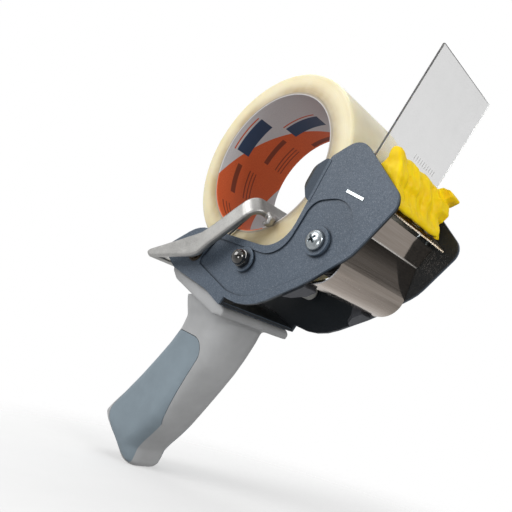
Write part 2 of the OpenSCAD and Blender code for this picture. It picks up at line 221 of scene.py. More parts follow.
def coat_edge():
    """The powder coat where it runs thin over an edge."""
    look = Look("coat_edge", Metallic=0.15, Specular_IOR_Level=0.5)
    rub = look.noise(0.6, 4, 0.65)
    look.set("Base Color", look.mix(look.range(rub, 0.5, 0.66), (0.050, 0.078, 0.115), (0.13, 0.17, 0.22)))
    look.set("Roughness", look.range(rub, 0.3, 0.7, 0.28, 0.42))
    look.bump(rub, 0.02, 0.5)
    return look.material


def polished_sheet():
    """Rolled steel, polished along its width, with a painted highlight along the line where it is creased."""
    look = Look("polished_sheet", Metallic=1.0)
    grain = look.noise(1.0, 4, 0.6, stretch=(2.2, 0.035, 2.2))
    fine = look.noise(1.0, 2, 0.5, stretch=(9.0, 0.06, 9.0))
    tone = look.mix(look.range(grain, 0.35, 0.68), (0.52, 0.445, 0.385), (0.62, 0.545, 0.485))
    x, _, z = look.axes()
    crease_x, crease_z = CREASE
    off = look.length(look.math("SUBTRACT", x, crease_x), look.math("SUBTRACT", z, crease_z))
    # painted highlight: a near-white, rougher line along the crease
    crease_highlight = look.range(off, 0.25, 0.6, 1.0, 0.0)
    look.set("Base Color", look.mix(crease_highlight, tone, (0.95, 0.93, 0.9)))
    look.set("Roughness", look.add(look.range(grain, 0.3, 0.7, 0.05, 0.11), look.times(crease_highlight, 0.5)))
    look.bump(look.add(grain, look.times(fine, 0.5)), 0.006, 0.4)
    return look.material


def bright_metal(name, tone, rough, grain_mm=0.3):
    """Plated or bare metal, a little uneven in tone."""
    look = Look(name, Metallic=1.0)
    grain = look.noise(grain_mm, 4, 0.6)
    fine = look.noise(grain_mm * 6, 2, 0.6)
    dark = tuple(0.82 * c for c in tone)
    look.set("Base Color", look.mix(look.range(grain, 0.3, 0.7), dark, tone))
    look.set("Roughness", look.range(fine, 0.3, 0.7, *rough))
    look.bump(fine, 0.003, 0.4)
    return look.material


def blade_steel():
    """Ground steel with a straw tint in patches, from hardening."""
    look = Look("blade_steel", Metallic=1.0)
    grind = look.noise(1.0, 3, 0.6, stretch=(4.0, 0.3, 4.0))
    tint = look.noise(0.22, 3, 0.6)
    look.set("Base Color", look.mix(look.range(tint, 0.35, 0.65), (0.62, 0.47, 0.28), (0.78, 0.74, 0.68)))
    look.set("Roughness", look.range(grind, 0.3, 0.7, 0.2, 0.34))
    look.bump(grind, 0.01, 0.5)
    return look.material


def cast_alloy():
    """Bare cast alloy with a blotchy skin and small dark pits."""
    look = Look("cast_alloy", Metallic=1.0)
    skin = look.noise(0.75, 5, 0.62)
    blotch = look.noise(0.09, 3, 0.6)
    tone = look.mix(look.range(blotch, 0.3, 0.7), (0.33, 0.325, 0.315), (0.46, 0.455, 0.44))
    pits = look.noise(1.9, 3, 0.6)
    tone = look.mix(look.range(pits, 0.30, 0.44, 0.55, 0.0), tone, (0.17, 0.16, 0.15))
    look.set("Base Color", tone)
    rough = look.add(look.range(skin, 0.3, 0.7, 0.30, 0.46), look.range(blotch, 0.3, 0.7, 0.0, 0.08))
    look.set("Roughness", rough)
    look.bump(look.add(skin, look.times(pits, 0.5)), 0.14, 0.7)
    return look.material


def black_chrome():
    """Black plating under a clear glossy coat."""
    look = Look("black_chrome", Metallic=1.0, Coat_Weight=0.6, Coat_Roughness=0.06)
    haze = look.noise(0.5, 3)
    look.set("Base Color", look.mix(haze, (0.07, 0.068, 0.065), (0.11, 0.107, 0.104)))
    look.set("Roughness", look.range(haze, 0.3, 0.7, 0.08, 0.14))
    look.bump(haze, 0.01, 0.4)
    return look.material


def moulded(name, tone, rough=(0.35, 0.5), texture_mm=2.4, depth=0.03, specular=0.45):
    """Moulded plastic: fine mould texture, faint flow marks."""
    look = Look(name, Specular_IOR_Level=specular)
    grain = look.noise(texture_mm, 2, 0.5)
    flow = look.noise(0.06, 3, 0.6)
    dark = tuple(0.86 * c for c in tone)
    look.set("Base Color", look.mix(look.range(flow, 0.3, 0.7), dark, tone))
    look.set("Roughness", look.range(grain, 0.3, 0.7, *rough))
    look.bump(look.add(grain, look.times(flow, 0.6)), depth, 0.6)
    return look.material


def guard_yellow():
    """Soft yellow plastic, browned where it is worn."""
    look = Look("guard_yellow", Specular_IOR_Level=0.18, Subsurface_Weight=0.15, Subsurface_Scale=3 * MM)
    look.set("Subsurface Radius", (1.0, 0.6, 0.05))
    flow = look.noise(0.16, 3, 0.6)
    worn = look.noise(0.5, 4, 0.65)
    tone = look.mix(look.range(flow, 0.35, 0.68), (0.90, 0.60, 0.002), (0.96, 0.70, 0.004))
    tone = look.mix(look.range(worn, 0.60, 0.75, 0.0, 0.4), tone, (0.66, 0.36, 0.004))
    look.set("Base Color", tone)
    look.set("Roughness", look.range(worn, 0.3, 0.7, 0.38, 0.56))
    look.bump(look.add(look.times(worn, 0.4), flow), 0.2, 0.6)
    return look.material


def clear_plastic():
    """Clear sheet with fine scratches along it. Its cut sides are frosted."""
    look = Look("clear_plastic", Transmission_Weight=1.0, IOR=1.46)
    haze = look.noise(0.12, 4, 0.6)
    scratch = look.noise(1.0, 2, 0.6, stretch=(0.2, 3.0, 0.2))
    look.set("Base Color", look.mix(look.range(haze, 0.3, 0.7), (0.71, 0.71, 0.71), (0.735, 0.735, 0.735)))
    _, y, _ = look.axes()
    cut = look.range(look.size(y), 24.15, 24.35)
    look.set("Roughness", look.add(look.range(scratch, 0.4, 0.75, 0.0, 0.05), look.times(cut, 0.6)))
    look.bump(scratch, 0.004, 0.3)
    return look.material


def tape_film():
    """Many layers of clear film with a cream cast: fine rings on its sides, fainter wind marks round it."""
    look = Look("tape_film", Subsurface_Weight=0.55, Subsurface_Scale=9 * MM, Specular_IOR_Level=0.5)
    look.set("Subsurface Radius", (1.0, 0.8, 0.45))
    x, y, z = look.axes()
    radius = look.length(x, z)
    layers = look.rings(radius, 2.6, 4)
    end_face = look.range(look.size(y), 23.2, 23.9)
    tone = look.mix(look.range(radius, 40.0, 46.5, smooth=True), (0.42, 0.29, 0.13), (0.78, 0.69, 0.44))
    # the foot of each side stands in the frame's shade
    shaded = look.times(look.range(z, -20.0, -40.0), end_face, 0.6)
    tone = look.mix(shaded, tone, (0.46, 0.33, 0.15))
    cloud = look.noise(0.045, 3, 0.6)
    tone = look.mix(look.times(look.range(cloud, 0.35, 0.7), 0.5), tone, (0.88, 0.83, 0.64))
    tone = look.mix(look.times(look.range(layers, 0.4, 0.7), end_face, 0.3), tone, (0.70, 0.58, 0.33))
    look.set("Base Color", tone)
    wind = look.noise(1.0, 3, 0.5, stretch=(0.02, 1.1, 0.02))
    look.set("Roughness", look.range(look.add(wind, end_face), 0.3, 1.4, 0.16, 0.42))
    look.bump(look.mix(end_face, wind, layers), 0.06, 0.5)
    return look.material


def core_card():
    """Spiral-wound card. Its lining has a plain printed pattern that climbs like the winding."""
    look = Look("core_card", Specular_IOR_Level=0.35)
    x, y, z = look.axes()
    radius = look.length(x, z)

    def wrapped(value, span):
        """The value brought into one span, for values down to one span below zero."""
        return look.math("MODULO", look.add(value, span), span)

    turn = wrapped(look.times(look.math("ARCTAN2", z, x), 180 / math.pi), 360.0)
    # in one turn the print climbs this far along the axis, and it repeats so many times
    climb, repeats = 147.6, 9
    step = 360 / repeats
    lean = wrapped(look.add(y, look.times(turn, climb / 360)), climb)
    tile = look.math("FLOOR", look.math("DIVIDE", turn, step))
    across = look.math("SUBTRACT", turn, look.times(tile, step))
    along = wrapped(look.add(y, look.times(tile, climb / repeats)), climb)

    def block(a0, a1, b0, b1):
        """A printed rectangle in each repeat: degrees round the core, then millimetres along it."""
        return look.times(look.between(across, a0, a1), look.between(along, b0, b1))

    paper = look.noise(1.6, 3, 0.6)
    orange = look.mix(look.range(paper, 0.35, 0.65), (0.66, 0.105, 0.026), (0.74, 0.140, 0.040))
    navy, red, ink = (0.030, 0.055, 0.115), (0.60, 0.10, 0.03), (0.10, 0.022, 0.012)
    tone = look.mix(look.range(paper, 0.3, 0.7), (0.58, 0.57, 0.575), (0.66, 0.65, 0.655))
    tone = look.mix(look.between(lean, 51.0, 91.6), tone, orange)
    tone = look.mix(block(3.0, 36.5, 30.6, 40.0), tone, navy)
    tone = look.mix(block(4.0, 37.0, 28.4, 29.3), tone, red)
    for low, high in ((52.0, 55.4), (62.0, 62.8), (64.6, 65.3), (67.0, 67.7)):
        tone = look.mix(look.times(block(6.0, 33.0, low, high), 0.8), tone, ink)
    plies = look.rings(radius, 3.0)
    card = look.mix(plies, (0.30, 0.24, 0.17), (0.50, 0.43, 0.33))
    lining = look.range(radius, 38.5, 38.7, 1.0, 0.0)
    look.set("Base Color", look.mix(lining, card, tone))
    look.set("Roughness", look.range(paper, 0.3, 0.7, 0.42, 0.6))
    look.bump(look.add(paper, look.times(plies, 0.5)), 0.04, 0.5)
    return look.material


def ribbed_rubber():
    """Black rubber, greyed by dust in patches."""
    look = Look("ribbed_rubber", Specular_IOR_Level=0.4)
    dust = look.noise(0.3, 4, 0.6)
    grain = look.noise(3.0, 2)
    look.set("Base Color", look.mix(look.range(dust, 0.4, 0.75), (0.022, 0.022, 0.024), (0.055, 0.053, 0.05)))
    look.set("Roughness", look.range(grain, 0.3, 0.7, 0.5, 0.7))
    look.bump(grain, 0.04, 0.6)
    return look.material


def floor_look():
    """Pale paper that fades out into the pale background."""
    look = Look("floor_paper", Specular_IOR_Level=0.1, Roughness=0.9)
    fibre = look.noise(0.02, 3, 0.6)
    look.set("Base Color", look.mix(look.range(fibre, 0.3, 0.7), (0.86, 0.86, 0.86), (0.89, 0.89, 0.89)))
    x, y, _ = look.axes()
    look.set("Alpha", look.range(look.length(x, y), 60.0, 330.0, 0.55, 0.0, smooth=True))
    return look.material


LOOKS = {
    "frame_paint": powder_coat(),
    "polished_sheet": polished_sheet(),
    "blade_steel": blade_steel(),
    "plated_steel": bright_metal("plated_steel", (0.44, 0.48, 0.50), (0.26, 0.34)),
    "spring_wire": bright_metal("spring_wire", (0.16, 0.16, 0.165), (0.25, 0.4)),
    "guard_plastic": guard_yellow(),
    "holder_plastic": moulded("holder_plastic", (0.03, 0.03, 0.033)),
    "clear_plastic": clear_plastic(),
    "core_card": core_card(),
    "tape_film": tape_film(),
    "roller_plastic": moulded("roller_plastic", (0.07, 0.07, 0.075)),
    "support_plastic": moulded("support_plastic", (0.72, 0.72, 0.69)),
    "roller_rubber": ribbed_rubber(),
    "bush_bronze": bright_metal("bush_bronze", (0.10, 0.075, 0.05), (0.3, 0.45), 1.0),
    "cast_alloy": cast_alloy(),
    "black_nut": black_chrome(),
    "grip_plastic": moulded("grip_plastic", (0.47, 0.475, 0.48), (0.42, 0.56)),
    "grip_rubber": moulded("grip_rubber", (0.26, 0.32, 0.365), (0.5, 0.66), 3.0, 0.05, 0.35),
}
EDGES = {"frame_paint": coat_edge()}


# ---------------------------------------------------------------- the CAD pieces that stay

def soften(node, width_mm):
    """Rounds a CAD piece's edges with modifiers, which leave its own mesh alone."""
    weld = node.modifiers.new("weld", "WELD")
    weld.merge_threshold = 0.002 * MM
    bevel = node.modifiers.new("round_edges", "BEVEL")
    bevel.width = width_mm * MM
    bevel.segments = 2
    bevel.limit_method = "ANGLE"
    bevel.angle_limit = math.radians(SHARP_ANGLE)
    bevel.use_clamp_overlap = True
    if len(node.material_slots) > 1:
        bevel.material = 1
    node.modifiers.new("even_normals", "WEIGHTED_NORMAL").keep_sharp = True


def dress(name, slot):
    """Gives a CAD node its look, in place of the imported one."""
    mesh = NODES[name].data
    mesh.materials.clear()
    mesh.materials.append(LOOKS[slot])
    if slot in EDGES:
        mesh.materials.append(EDGES[slot])


for entry in frame["record"]["subparts"]:
    dress(entry["node"], entry["material_slot"])

ROUNDING = {
    "side_plate_near": 0.35, "side_plate_far": 0.35, "base_web": 0.3, "blade_carrier": 0.15,
    "axle_washers": 0.2, "support_washers": 0.2, "flap_holder": 0.2, "clear_flap": 0.2,
    "roller_axle": 0.3, "support_axle": 0.3, "lever_shaft": 0.3, "lever_bushes": 0.2,
    "grip_screws": 0.15, "roller_bushes": 0.3, "support_roller": 0.3, "tape_core": 0.25,
    "blade": 0.05, "blade_screws": 0.15,
}
for node_name, width in ROUNDING.items():
    soften(NODES[node_name], width)


# ---------------------------------------------------------------- tools for making pieces

def unit(v):
    return v / v.length


def arc(first, last, steps):
    """Angles in radians from first to last, both given in degrees."""
    return [math.radians(first + (last - first) * i / steps) for i in range(steps + 1)]


def side(x, z, y=0.0):
    """A point given by its place in the side view, in millimetres."""
    return Vector((x, y, z))


def loft(bm, rings, caps=True):
    """Joins rings of points, each in millimetres, into one closed skin."""
    rows = [[bm.verts.new(p * MM) for p in ring] for ring in rings]
    count = len(rows[0])
    for low, high in zip(rows, rows[1:]):
        for i in range(count):
            j = (i + 1) % count
            bm.faces.new((low[i], low[j], high[j], high[i]))
    if caps:
        bm.faces.new(rows[0][::-1])
        bm.faces.new(rows[-1])


def extrude(bm, outline, y_low, y_high, steps=1):
    """A side outline, a list of (x, z), given thickness along Y."""
    rings = []
    for i in range(steps + 1):
        y = y_low + (y_high - y_low) * i / steps
        rings.append([side(x, z, y) for x, z in outline])
    loft(bm, rings)


def lathe(bm, centre, profile, segments, caps=True):
    """Turns a profile, a list of (y, radius), about the line along Y through centre (x, z)."""
    rings = []
    for y, r in profile:
        ring = []
        for i in range(segments):
            a = 2 * math.pi * i / segments
            ring.append(side(centre[0] + r * math.cos(a), centre[1] + r * math.sin(a), y))
        rings.append(ring)
    loft(bm, rings, caps)


def box_ring(centre, a, b, half_a, half_b, radius, steps=4):
    """A rounded rectangle about centre, spanned by the unit vectors a and b."""
    radius = min(radius, half_a * 0.98, half_b * 0.98)
    ring = []
    for quarter, (sa, sb) in enumerate(((1, 1), (-1, 1), (-1, -1), (1, -1))):
        corner = centre + a * sa * (half_a - radius) + b * sb * (half_b - radius)
        for i in range(steps + 1):
            turn = math.pi / 2 * (quarter + i / steps)
            ring.append(corner + radius * (a * math.cos(turn) + b * math.sin(turn)))
    return ring


def finish_mesh(bm, name, sharp=SHARP_ANGLE):
    """The built skin as a mesh, shaded smooth up to the sharp angle."""
    bmesh.ops.recalc_face_normals(bm, faces=bm.faces[:])
    mesh = bpy.data.meshes.new(name)
    bm.to_mesh(mesh)
    bm.free()
    mesh.shade_smooth()
    mesh.set_sharp_from_angle(angle=math.radians(sharp))
    return mesh


def linked(name, mesh):
    obj = bpy.data.objects.new(name, mesh)
    bpy.context.scene.collection.objects.link(obj)
    return obj


def baked(obj, name, sharp=None):
    """The object's mesh with its modifiers applied. The object goes."""
    bpy.context.view_layer.update()
    mesh = bpy.data.meshes.new_from_object(obj.evaluated_get(bpy.context.evaluated_depsgraph_get()))
    mesh.name = name
    mesh.shade_smooth()
    if sharp is not None:
        mesh.set_sharp_from_angle(angle=math.radians(sharp))
    bpy.data.objects.remove(obj)
    return mesh


def melted(bm, name, voxel_mm, rounds):
    """Overlapping skins grown together into one casting with soft inner corners."""
    obj = linked("melting", finish_mesh(bm, "melting"))
    grow = obj.modifiers.new("remesh", "REMESH")
    grow.mode = "VOXEL"
    grow.voxel_size = voxel_mm * MM
    relax = obj.modifiers.new("relax", "SMOOTH")
    relax.iterations = rounds
    relax.factor = 0.5
    return baked(obj, name)


def trimmed(mesh, bm, name, operation, sharp, crossing=False):
    """The mesh, cut by the skins in bm or cut down to them. The skins may cross if it says so."""
    body = linked(name + "_whole", mesh)
    cutter = linked(name + "_cutter", finish_mesh(bm, name + "_cutter"))
    cut = body.modifiers.new("cut", "BOOLEAN")
    cut.operation, cut.object, cut.solver, cut.use_self = operation, cutter, "EXACT", crossing
    result = baked(body, name, sharp)
    bpy.data.objects.remove(cutter)
    return result


def piece(name, mesh, slot, body, replaces=()):
    """A finished piece: its look, its body, and the CAD nodes that it stands for."""
    obj = linked(name, mesh)
    mesh.materials.clear()
    mesh.materials.append(LOOKS[slot])
    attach(obj, body)
    if replaces:
        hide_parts(*replaces)


def centre_of(node):
    """Where the middle of a CAD node's box is in the side view, as (x, z)."""
    low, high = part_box(node)
    middle = (low + high) / 2 / MM
    return middle.x, middle.z


# ---------------------------------------------------------------- the roll

def tape_winding():
    """The wound tape: sides that step in and out a little, soft corners, and the loose end's step."""
    _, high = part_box("tape_winding")
    half, outer = high.y / MM, high.x / MM
    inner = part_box("tape_core")[1].x / MM
    soft, end_step, end_turn = 1.5, 0.16, 0.9

    def ripple(r, salt):
        coarse = noise.noise(Vector((r * 1.7, salt, 0)))
        fine = noise.noise(Vector((r * 5, salt, 3)))
        return 0.16 * abs(coarse) + 0.10 * abs(fine)

    profile = []
    for end in (-1, 1):
        face = []
        steps = 15
        for i in range(steps + 1):
            r = inner + (outer - soft - inner) * i / steps
            face.append((end * (half - ripple(r, end * 7)), r))
        for turn in arc(0, 90, 6)[1:]:
            face.append((end * (half - soft + soft * math.cos(turn)), outer - soft + soft * math.sin(turn)))
        profile += face if end < 0 else face[::-1]
    bm = bmesh.new()
    segments = 180
    rings = []
    for y, r in profile:
        ring = []
        for i in range(segments):
            a = 2 * math.pi * i / segments + end_turn
            inset = end_step * (1 - i / segments) * (r - inner) / (outer - inner)
            ring.append(side((r - inset) * math.cos(a), (r - inset) * math.sin(a), y))
        rings.append(ring)
    rings.append(rings[0])
    loft(bm, rings, caps=False)
    bmesh.ops.remove_doubles(bm, verts=bm.verts[:], dist=0.001 * MM)
    piece("wound_tape", finish_mesh(bm, "wound_tape", 50), "tape_film", "tape_roll", ["tape_winding"])


# ---------------------------------------------------------------- the lever

def lever_casting():
    """A cast strap that bends into the bar inside the core, with a rolled lower edge and a thumb bar."""
    low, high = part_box("lever_arm")
    outer_y, bar_end = low.y / MM + 0.05, high.y / MM
    thick, corner = 3.5, 0.9
    mid_y = outer_y + thick / 2
    bm = bmesh.new()
    across = Vector((0, 1, 0))
    # the strap's stations: its upper and its lower edge in the side view
    stations = [
        ((-64.6, -53.6), (-64.4, -54.9)), ((-63.2, -52.4), (-62.6, -56.4)), ((-57.0, -51.2), (-57.0, -56.8)),
        ((-47.6, -49.4), (-47.6, -56.6)), ((-34.0, -46.7), (-34.0, -56.5)), ((-26.0, -45.1), (-25.0, -56.4)),
        ((-20.6, -43.9), (-20.4, -55.4)), ((-16.4, -41.9), (-14.2, -51.0)), ((-8.0, -37.1), (-4.6, -45.2)),
        ((0.0, -32.3), (4.2, -39.9)), ((5.0, -29.6), (8.6, -37.3)),
    ]
    rings = []
    for (ux, uz), (lx, lz) in stations:
        top, foot = side(ux, uz, mid_y), side(lx, lz, mid_y)
        tall = top - foot
        rings.append(box_ring((top + foot) / 2, unit(tall), across, tall.length / 2, thick / 2, corner))
    # the bend and the bar, both square to the strap's last stretch
    ahead = unit(Vector((0.882, 0, 0.471)))
    up = Vector((-ahead.z, 0, ahead.x))
    bend, rise, half_thick = 5.6, 0.9, thick / 2 - 0.1
    start = side(7.0, -33.2)
    turns = 10
    for i in range(turns + 1):
        turn = math.pi / 2 * i / turns
        spot = start + (ahead * bend + up * rise) * math.sin(turn)
        spot.y = mid_y + bend * (1 - math.cos(turn))
        facing = across * math.cos(turn) - ahead * math.sin(turn)
        rings.append(box_ring(spot, up, facing, 4.2 + 0.2 * i / turns, half_thick, corner))
    bar_mid = start + ahead * bend + up * rise
    for y, half_tall, half_wide in ((outer_y + 14, 4.4, half_thick), (outer_y + 34, 4.4, half_thick),
                                    (bar_end - 1.2, 4.4, half_thick), (bar_end, 3.6, half_thick - 0.6)):
        rings.append(box_ring(side(bar_mid.x, bar_mid.z, y), up, -ahead, half_tall, half_wide, corner))
    loft(bm, rings)
    # the bar's rolled lower edge, which ends in a thicker curl beside the roll
    edge = bar_mid - up * 4.0 + ahead * 0.4
    lathe(bm, (edge.x, edge.z), [(outer_y + 9.0, 1.2), (outer_y + 10.0, 1.9), (bar_end - 2, 1.9),
                                 (bar_end - 0.6, 1.4), (bar_end - 0.2, 0.3)], 20)
    curl = [edge - up * 0.2 + ahead * 0.6, edge - up * 2.2 + ahead * 0.9, edge - up * 3.5 - ahead * 0.3,
            edge - up * 3.2 - ahead * 2.2]
    for spot, r in zip(curl, (1.7, 1.7, 1.5, 1.2)):
        lathe(bm, (spot.x, spot.z), [(outer_y + 8.6, 0.5), (outer_y + 9.0, r - 0.3), (outer_y + 9.5, r),
                                     (outer_y + 12.2, r), (outer_y + 12.9, 0.6)], 16)
    # the thumb bar
    thumb = [(-65.0, -54.1), (-64.4, -55.3), (-62.2, -57.0), (-61.0, -57.0), (-58.2, -56.4), (-57.9, -55.6),
             (-60.4, -53.2), (-61.2, -52.8), (-63.4, -52.9), (-64.6, -53.4)]
    extrude(bm, thumb, outer_y + 0.4, outer_y + 39.6, 6)
    # the boss round the shaft
    px, pz = centre_of("lever_shaft")
    lathe(bm, (px, pz - 0.6), [(mid_y - 0.5, 4.4), (mid_y + 1.9, 4.3), (outer_y + 8.6, 3.9)], 40)
    mesh = melted(bm, "lever_casting", 0.38, 3)
    piece("lever_casting", mesh, "cast_alloy", "lever", ["lever_arm"])


# ---------------------------------------------------------------- the cutting end

def buffer_sheet():
    """The polished sheet: a true arc round the tape roller, then two flats up to the tape's exit."""
    _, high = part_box("buffer_plate")
    half = high.y / MM
    (nose_x, nose_z), r, thick = (49.5, -53.4), 12.0, 0.6
    path = [(45.2, nose_z - r)]
    path += [(nose_x + r * math.cos(a), nose_z + r * math.sin(a)) for a in arc(-90, -11.25, 40)]
    crease_x, crease_z = CREASE
    path += [(crease_x - 0.2, crease_z), (crease_x + 0.35, crease_z + 0.05), (69.2, -33.3), (70.9, -31.1)]
    points = [Vector(p) for p in path]
    skin = []
    for i, p in enumerate(points):
        back, front = max(i, 1), min(i, len(points) - 2)
        before = unit(points[back] - points[back - 1])
        middle = unit(before + unit(points[front + 1] - points[front]))
        normal = Vector((-middle.y, middle.x)) / middle.dot(before)
        skin.append(p + normal * thick)
    bm = bmesh.new()
    extrude(bm, points + skin[::-1], -half, half)
    mesh = finish_mesh(bm, "buffer_sheet", 9)
    piece("buffer_sheet", mesh, "polished_sheet", "root", ["buffer_plate"])
    # the sheared sides are darker
    mesh.materials.append(LOOKS["spring_wire"])
    for face in mesh.polygons:
        if abs(face.normal.y) > 0.9:
            face.material_index = 1


def guard_moulding():
    """The soft yellow guard: a lumpy cover over the teeth with a finger ear and a foot at its far end."""
    low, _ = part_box("blade_guard")
    left, right = low.y / MM, 20.4
    pin = centre_of("guard_pin")
    bm = bmesh.new()
    rings = []
    count = 44
    for i in range(count + 1):
        y = left + (right - left) * i / count
        hump = 1.7 * math.exp(-((y + 20.4) / 2.8) ** 2)
        dip = 1.7 * math.exp(-((y + 14.6) / 1.8) ** 2)
        top = -4.6 + hump - dip + 0.5 * math.sin(y * 0.42) - 0.9 * i / count
        # upright flutes, and a foot that is thinner and tucked up towards the far end
        flute = 1.1 * math.sin(y * 0.55 + 0.4) + 0.5 * math.sin(y * 1.3)
        thin = 1.0 if y > 14.5 else 0.0
        shelf = 0.6 * math.sin(y * 0.8 + 1.0)
        tuck = 1.6 * max(0.0, y - 8.0) / 12.0
        ring = [
            (67.3, -16.0), (70.6, -17.0), (72.2, -22.8), (77.6 - 1.6 * thin, -30.0 + tuck),
            (79.2 - 2.4 * thin, -31.0 + tuck), (79.4 - 2.8 * thin, -28.6 + tuck),
            (78.0 + 0.5 * flute - 2.4 * thin, -24.0), (77.4 + 0.6 * flute - 1.4 * thin, -20.6),
            (78.4 + 0.9 * flute, -17.6), (77.9 + 0.9 * flute, -13.0 + shelf),
            (76.7 + 0.9 * flute, -9.4 + shelf), (76.4 + 0.4 * flute, top - 2.0), (75.2, top),
            (73.0, top + 0.9), (71.6, top - 0.4), (70.9, -8.5), (68.5, -10.6), (66.9, -11.6),
        ]
        rings.append([side(x, z, y) for x, z in ring])
    loft(bm, rings)
    # the finger ear, and the block under it
    ear = [(72.0, -13.4), (76.6, -12.4), (81.4, -10.2), (82.3, -9.2), (79.8, -6.0), (76.8, -4.2),
           (72.0, -5.0)]
    block = [(72.6, -21.2), (77.0, -20.6), (79.6, -17.4), (79.2, -12.5), (73.0, -11.0)]
    extrude(bm, ear, 15.4, 23.5, 3)
    extrude(bm, block, 11.0, 20.4, 3)
    lathe(bm, pin, [(left + 0.1, 2.3), (right - 0.2, 2.3)], 24)
    mesh = melted(bm, "guard_moulding", 0.5, 8)
    # lumps all over, but not round the pin nor on the ear
    for v in mesh.vertices:
        p = v.co / MM
        lump = 0.7 * noise.noise(p * 0.22) + 0.12 * noise.noise(p * 0.6)
        if (Vector((p.x, p.z)) - Vector(pin)).length > 4.5 and p.x > 71 and p.y < 19:
            v.co += v.normal * lump * MM
    piece("guard_moulding", mesh, "guard_plastic", "guard", ["blade_guard"])


def flap_marks():
    """Short raised ribs moulded into the flap, above the guard."""
    joint = JOINTS["flap_swing"]["pos_m"]
    hinge = side(joint[0] / MM, joint[2] / MM)
    lean = math.radians(25.3)
    up = Vector((math.sin(lean), 0, math.cos(lean)))
    front = Vector((math.cos(lean), 0, -math.sin(lean)))
    first_y, pitch, height, above, forward = -2.4, 2.0, 2.4, 21.6, 0.68
    bm = bmesh.new()
    for i in range(10):
        foot = hinge + front * forward + up * above
        foot.y = first_y + pitch * i
        ring = box_ring(foot, Vector((0, 1, 0)), front, 0.13, 0.12, 0.06, 2)
        loft(bm, [ring, [p + up * height for p in ring]])
    piece("flap_marks", finish_mesh(bm, "flap_marks"), "clear_plastic", "flap")


# ---------------------------------------------------------------- fasteners and rollers

def axle_screws():
    """Phillips pan-head screws with a shallow dome and a driven cross."""
    cx, cz = centre_of("axle_screws")
    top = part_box("axle_screws")[1].y / MM
    shank, head, rim, dome = 2.4, 4.6, 1.0, 2.2
    seat = top - 3.3
    profile = [(top - 12, shank), (seat, shank), (seat, head - 0.25), (seat + 0.3, head), (seat + rim, head)]
    profile += [(seat + rim + dome * math.sin(a), head * math.cos(a)) for a in arc(0, 88, 9)[1:]]
    bm = bmesh.new()
    slots = bmesh.new()
    for end in (-1, 1):
        lathe(bm, (cx, cz), [(end * y, r) for y, r in profile], 56)
        for turn in (35, 125):
            a = math.radians(turn)
            along, aside = Vector((math.cos(a), 0, math.sin(a))), Vector((-math.sin(a), 0, math.cos(a)))
            loft(slots, [box_ring(side(cx, cz, end * y), along, aside, half_length, half_width, 0.2, 2)
                         for y, half_length, half_width in ((seat + 0.5, 1.0, 0.40), (top + 1.0, 3.0, 0.72))])
    mesh = trimmed(finish_mesh(bm, "screws"), slots, "pan_screws", "DIFFERENCE", SHARP_ANGLE, crossing=True)
    piece("pan_screws", mesh, "plated_steel", "root", ["axle_screws"])


def acorn_nuts():
    """Domed hexagon nuts: a chamfered hexagon with a bright round cap."""
    cx, cz = centre_of("dome_nuts")
    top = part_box("dome_nuts")[1].y / MM
    seat = top - 6.4
    flat, cap, cap_foot, cap_height = 4.15, 3.85, 2.7, 3.6
    count = 60
    turns = [2 * math.pi * i / count for i in range(count)]
    sixth = math.pi / 3
    hexagon = [flat / math.cos((a + sixth / 2) % sixth - sixth / 2) for a in turns]
    # rows of radii from the seat up; the limit turns the hexagon's corners round
    rows = [(y, [min(r, limit) for r in hexagon])
            for y, limit in ((0.0, 4.35), (0.3, 4.65), (1.7, 4.65), (2.2, 4.35), (2.3, 3.9))]
    rows += [(cap_foot + cap_height * math.sin(a), [cap * math.cos(a)] * count) for a in arc(0, 88, 11)]
    bm = bmesh.new()
    for end in (-1, 1):
        loft(bm, [[side(cx + r * math.cos(a), cz + r * math.sin(a), end * (seat + y))
                   for r, a in zip(radii, turns)] for y, radii in rows])
    piece("acorn_nuts", finish_mesh(bm, "acorn_nuts", 32), "black_nut", "root", ["dome_nuts"])


def ribbed_sleeve():
    """The rubber sleeve, grooved round so that the tape's adhesive lets go of it."""
    low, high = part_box("roller_sleeve")
    half, outer = high.y / MM, (high.x - low.x) / 2 / MM
    wall, chamfer, groove, margin, ribs = 2.2, 0.5, 0.8, 1.5, 13
    inner = outer - wall
    pitch = (2 * half - 2 * margin) / ribs
    profile = [(-half, inner), (-half, outer - chamfer), (-half + chamfer, outer)]
    for i in range(ribs):
        y = -half + margin + (i + 0.5) * pitch
        profile += [(y - 0.7, outer), (y - 0.45, outer - groove),
                    (y + 0.45, outer - groove), (y + 0.7, outer)]
    profile += [(half - chamfer, outer), (half, outer - chamfer), (half, inner)]
    bm = bmesh.new()
    lathe(bm, centre_of("roller_sleeve"), profile + [profile[0]], 72, caps=False)
    bmesh.ops.remove_doubles(bm, verts=bm.verts[:], dist=0.001 * MM)
    mesh = finish_mesh(bm, "ribbed_sleeve", 30)
    piece("ribbed_sleeve", mesh, "roller_rubber", "tape_roller", ["roller_sleeve"])


# ---------------------------------------------------------------- the handle

